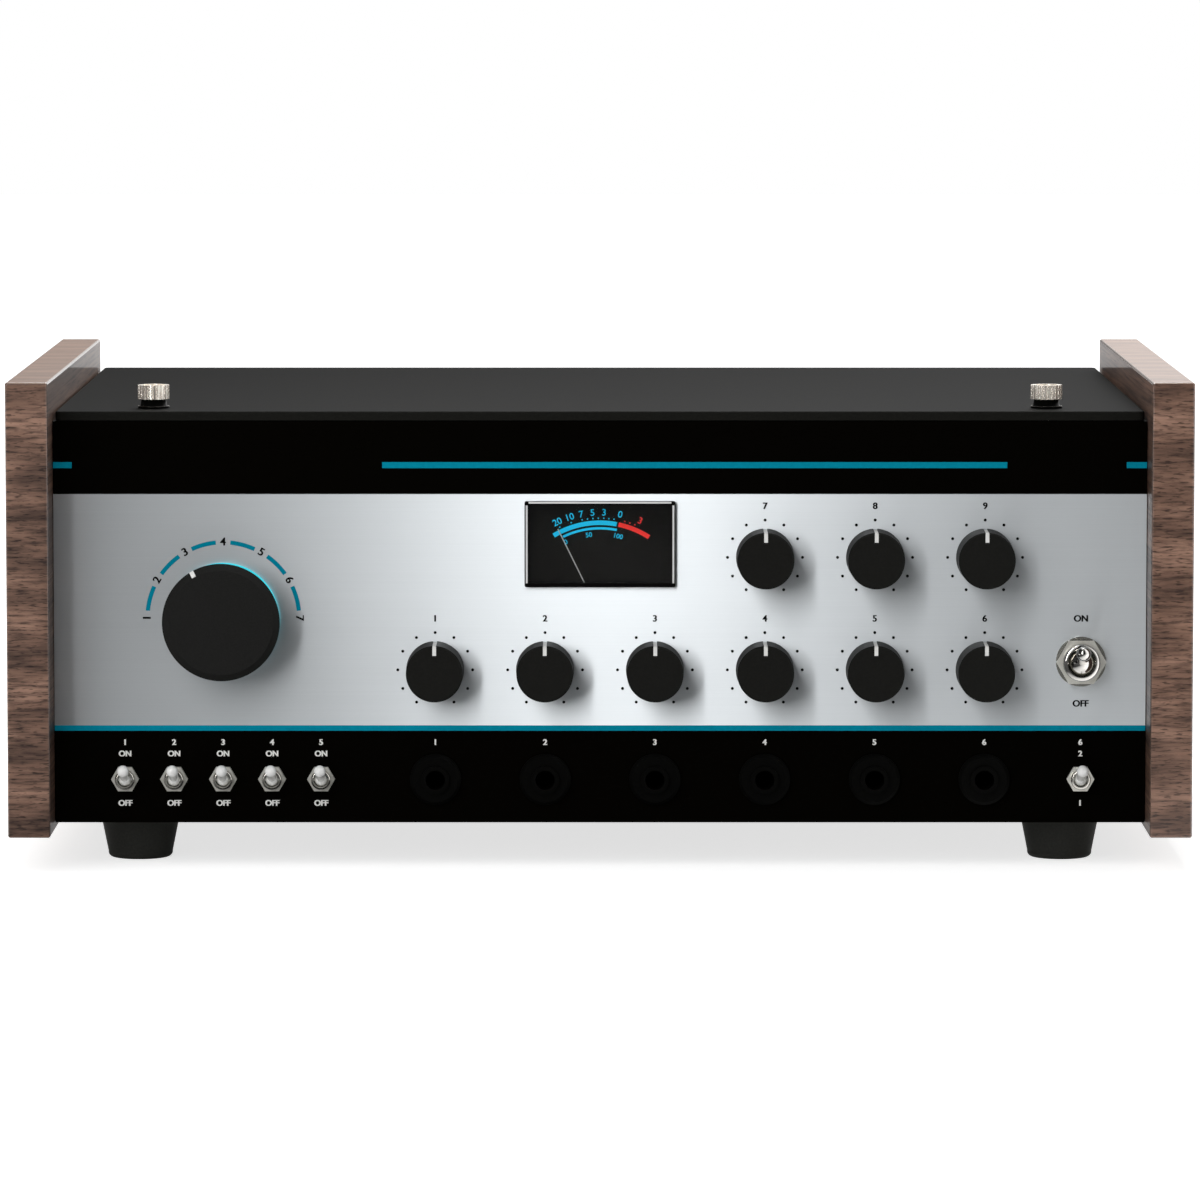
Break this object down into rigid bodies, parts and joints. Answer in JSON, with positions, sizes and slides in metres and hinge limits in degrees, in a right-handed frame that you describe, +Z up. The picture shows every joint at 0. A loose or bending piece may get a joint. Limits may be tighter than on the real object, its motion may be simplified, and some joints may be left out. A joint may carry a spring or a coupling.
{
  "type": "tape echo unit",
  "caption": "Desktop tape echo in a metal case between timber cheeks: hinged cover over a tape deck, knobs, toggles, jack sockets and a level meter on the front panel.",
  "frame": {"origin": "on the standing surface, under the middle of the bounding box", "axes": "+X to the right of someone facing the panel, -Y out of the panel towards them, +Z up"},
  "size_m": [0.39, 0.268, 0.1624],
  "materials": {
    "walnut": "oiled walnut, satin",
    "panel": "brushed and printed",
    "case_steel": "black powder coat",
    "cover_paint": "black textured",
    "zinc": "zinc plated",
    "black_steel": "black",
    "rubber": "matte",
    "deck_alloy": "satin",
    "clear_tray": "smoked",
    "tape": "brown oxide",
    "head_metal": "polished",
    "brass": "turned",
    "motor_can": "plated",
    "belt": "matte",
    "coil_tape": "taped coil",
    "nickel": "nickel plated",
    "satin_lever": "satin",
    "switch_body": "matte",
    "light_ring": "lit",
    "knob": "matte",
    "jack_black": "matte",
    "meter_black": "gloss",
    "window": "clear",
    "dial": "printed",
    "needle": "red",
    "board": "green laminate",
    "core": "varnished",
    "tank_metal": "plated"
  },
  "bodies": {
    "case": {"left_cheek": "walnut", "right_cheek": "walnut", "front_panel": "panel", "chassis_tray": "case_steel", "rear_panel": "case_steel", "cover_brackets": "black_steel", "cover_hinges": "black_steel", "feet": "rubber", "case_screws": "zinc", "deck_plate": "deck_alloy", "tape_tray": "clear_tray", "tape_loop": "tape", "head_base": "zinc", "tape_heads": "head_metal", "tape_guides": "head_metal", "capstan_bearing": "brass", "drive_motor": "motor_can", "drive_belt": "belt", "solenoid": "coil_tape", "potentiometers": "zinc", "panel_nuts": "nickel", "mode_switch": "switch_body", "mode_ring": "light_ring", "toggle_switches": "nickel", "jack_sockets": "jack_black", "jack_nuts": "jack_black", "vu_meter_case": "meter_black", "vu_meter_window": "window", "vu_dial": "dial", "circuit_board": "board", "transformer": "core", "reverb_tank": "tank_metal", "mains_inlet": "jack_black"},
    "cover": {"top_cover": "cover_paint"},
    "screw_left": {"thumbscrew_left": "nickel"},
    "screw_right": {"thumbscrew_right": "nickel"},
    "mode_selector": {"mode_knob": "knob"},
    "power_lever": {"lever_power": "nickel"},
    "needle": {"vu_needle": "needle"},
    "capstan": {"capstan_shaft": "head_metal", "flywheel": "brass"},
    "motor_rotor": {"motor_pulley": "brass"},
    "arm": {"pinch_arm": "zinc"},
    "roller": {"pinch_roller": "rubber"},
    "plunger": {"solenoid_plunger": "zinc"},
    "pot_input_volume": {"knob_input_volume": "knob"},
    "pot_chorus_rate": {"knob_chorus_rate": "knob"},
    "pot_chorus_depth": {"knob_chorus_depth": "knob"},
    "pot_reverb_volume": {"knob_reverb_volume": "knob"},
    "pot_speed": {"knob_speed": "knob"},
    "pot_echo_volume": {"knob_echo_volume": "knob"},
    "pot_bass": {"knob_bass": "knob"},
    "pot_treble": {"knob_treble": "knob"},
    "pot_feedback": {"knob_feedback": "knob"},
    "switch_direct": {"lever_direct": "satin_lever"},
    "switch_motor": {"lever_motor": "satin_lever"},
    "switch_sound_on_sound": {"lever_sound_on_sound": "satin_lever"},
    "switch_echo": {"lever_echo": "satin_lever"},
    "switch_chorus": {"lever_chorus": "satin_lever"},
    "switch_output_level": {"lever_output_level": "satin_lever"}
  },
  "joints": [
    {"name": "cover_hinge", "type": "hinge", "parent": "case", "child": "cover", "pos_m": [0, 0.1315, 0.1482], "axis": [-1, 0, 0], "range_deg": [0, 95]},
    {"name": "screw_left_spin", "type": "hinge", "parent": "cover", "child": "screw_left", "pos_m": [-0.1485, -0.096, 0.157], "axis": [0, 0, 1], "continuous": true},
    {"name": "screw_right_spin", "type": "hinge", "parent": "cover", "child": "screw_right", "pos_m": [0.1485, -0.096, 0.157], "axis": [0, 0, 1], "continuous": true},
    {"name": "mode_turn", "type": "hinge", "parent": "case", "child": "mode_selector", "pos_m": [-0.1247, -0.12, 0.0832], "axis": [0, 1, 0], "range_deg": [-60, 120]},
    {"name": "input_volume_turn", "type": "hinge", "parent": "case", "child": "pot_input_volume", "pos_m": [-0.0546, -0.12, 0.0659], "axis": [0, 1, 0], "range_deg": [-150, 150]},
    {"name": "chorus_rate_turn", "type": "hinge", "parent": "case", "child": "pot_chorus_rate", "pos_m": [-0.0182, -0.12, 0.0659], "axis": [0, 1, 0], "range_deg": [-150, 150]},
    {"name": "chorus_depth_turn", "type": "hinge", "parent": "case", "child": "pot_chorus_depth", "pos_m": [0.0182, -0.12, 0.0659], "axis": [0, 1, 0], "range_deg": [-150, 150]},
    {"name": "reverb_volume_turn", "type": "hinge", "parent": "case", "child": "pot_reverb_volume", "pos_m": [0.0546, -0.12, 0.0659], "axis": [0, 1, 0], "range_deg": [-150, 150]},
    {"name": "speed_turn", "type": "hinge", "parent": "case", "child": "pot_speed", "pos_m": [0.091, -0.12, 0.0659], "axis": [0, 1, 0], "range_deg": [-150, 150]},
    {"name": "echo_volume_turn", "type": "hinge", "parent": "case", "child": "pot_echo_volume", "pos_m": [0.1274, -0.12, 0.0659], "axis": [0, 1, 0], "range_deg": [-150, 150]},
    {"name": "bass_turn", "type": "hinge", "parent": "case", "child": "pot_bass", "pos_m": [0.0546, -0.12, 0.1033], "axis": [0, 1, 0], "range_deg": [-150, 150]},
    {"name": "treble_turn", "type": "hinge", "parent": "case", "child": "pot_treble", "pos_m": [0.091, -0.12, 0.1033], "axis": [0, 1, 0], "range_deg": [-150, 150]},
    {"name": "feedback_turn", "type": "hinge", "parent": "case", "child": "pot_feedback", "pos_m": [0.1274, -0.12, 0.1033], "axis": [0, 1, 0], "range_deg": [-150, 150]},
    {"name": "direct_flick", "type": "hinge", "parent": "case", "child": "switch_direct", "pos_m": [-0.1575, -0.116, 0.0296], "axis": [1, 0, 0], "range_deg": [0, 40]},
    {"name": "motor_flick", "type": "hinge", "parent": "case", "child": "switch_motor", "pos_m": [-0.14125, -0.116, 0.0296], "axis": [1, 0, 0], "range_deg": [0, 40]},
    {"name": "sound_on_sound_flick", "type": "hinge", "parent": "case", "child": "switch_sound_on_sound", "pos_m": [-0.125, -0.116, 0.0296], "axis": [1, 0, 0], "range_deg": [0, 40]},
    {"name": "echo_flick", "type": "hinge", "parent": "case", "child": "switch_echo", "pos_m": [-0.10875, -0.116, 0.0296], "axis": [1, 0, 0], "range_deg": [0, 40]},
    {"name": "chorus_flick", "type": "hinge", "parent": "case", "child": "switch_chorus", "pos_m": [-0.0925, -0.116, 0.0296], "axis": [1, 0, 0], "range_deg": [0, 40]},
    {"name": "output_level_flick", "type": "hinge", "parent": "case", "child": "switch_output_level", "pos_m": [0.1593, -0.116, 0.0296], "axis": [1, 0, 0], "range_deg": [0, 40]},
    {"name": "power_flick", "type": "hinge", "parent": "case", "child": "power_lever", "pos_m": [0.1593, -0.1178, 0.0687], "axis": [1, 0, 0], "range_deg": [0, 38]},
    {"name": "needle_swing", "type": "hinge", "parent": "case", "child": "needle", "pos_m": [0, -0.1094, 0.084], "axis": [0, 1, 0], "range_deg": [0, 52.4], "stiffness_Nm_per_rad": 0.001},
    {"name": "capstan_spin", "type": "hinge", "parent": "case", "child": "capstan", "pos_m": [0.106, -0.05855, 0.104], "axis": [0, 0, 1], "continuous": true},
    {"name": "motor_spin", "type": "hinge", "parent": "case", "child": "motor_rotor", "pos_m": [0.038, -0.05, 0.104], "axis": [0, 0, 1], "continuous": true},
    {"name": "arm_swing", "type": "hinge", "parent": "case", "child": "arm", "pos_m": [0.152, -0.056, 0.1275], "axis": [0, 0, 1], "range_deg": [0, 12]},
    {"name": "roller_spin", "type": "hinge", "parent": "arm", "child": "roller", "pos_m": [0.106, -0.07045, 0.1218], "axis": [0, 0, 1], "continuous": true},
    {"name": "plunger_slide", "type": "slide", "parent": "case", "child": "plunger", "axis": [-1, 0, 0], "range_m": [0, 0.003]}
  ],
  "couplings": [
    {"joint": "motor_spin", "follows": "capstan_spin", "ratio": 5.3333},
    {"joint": "roller_spin", "follows": "capstan_spin", "ratio": -0.375},
    {"joint": "plunger_slide", "follows": "arm_swing", "m_per_rad": 0.014}
  ]
}
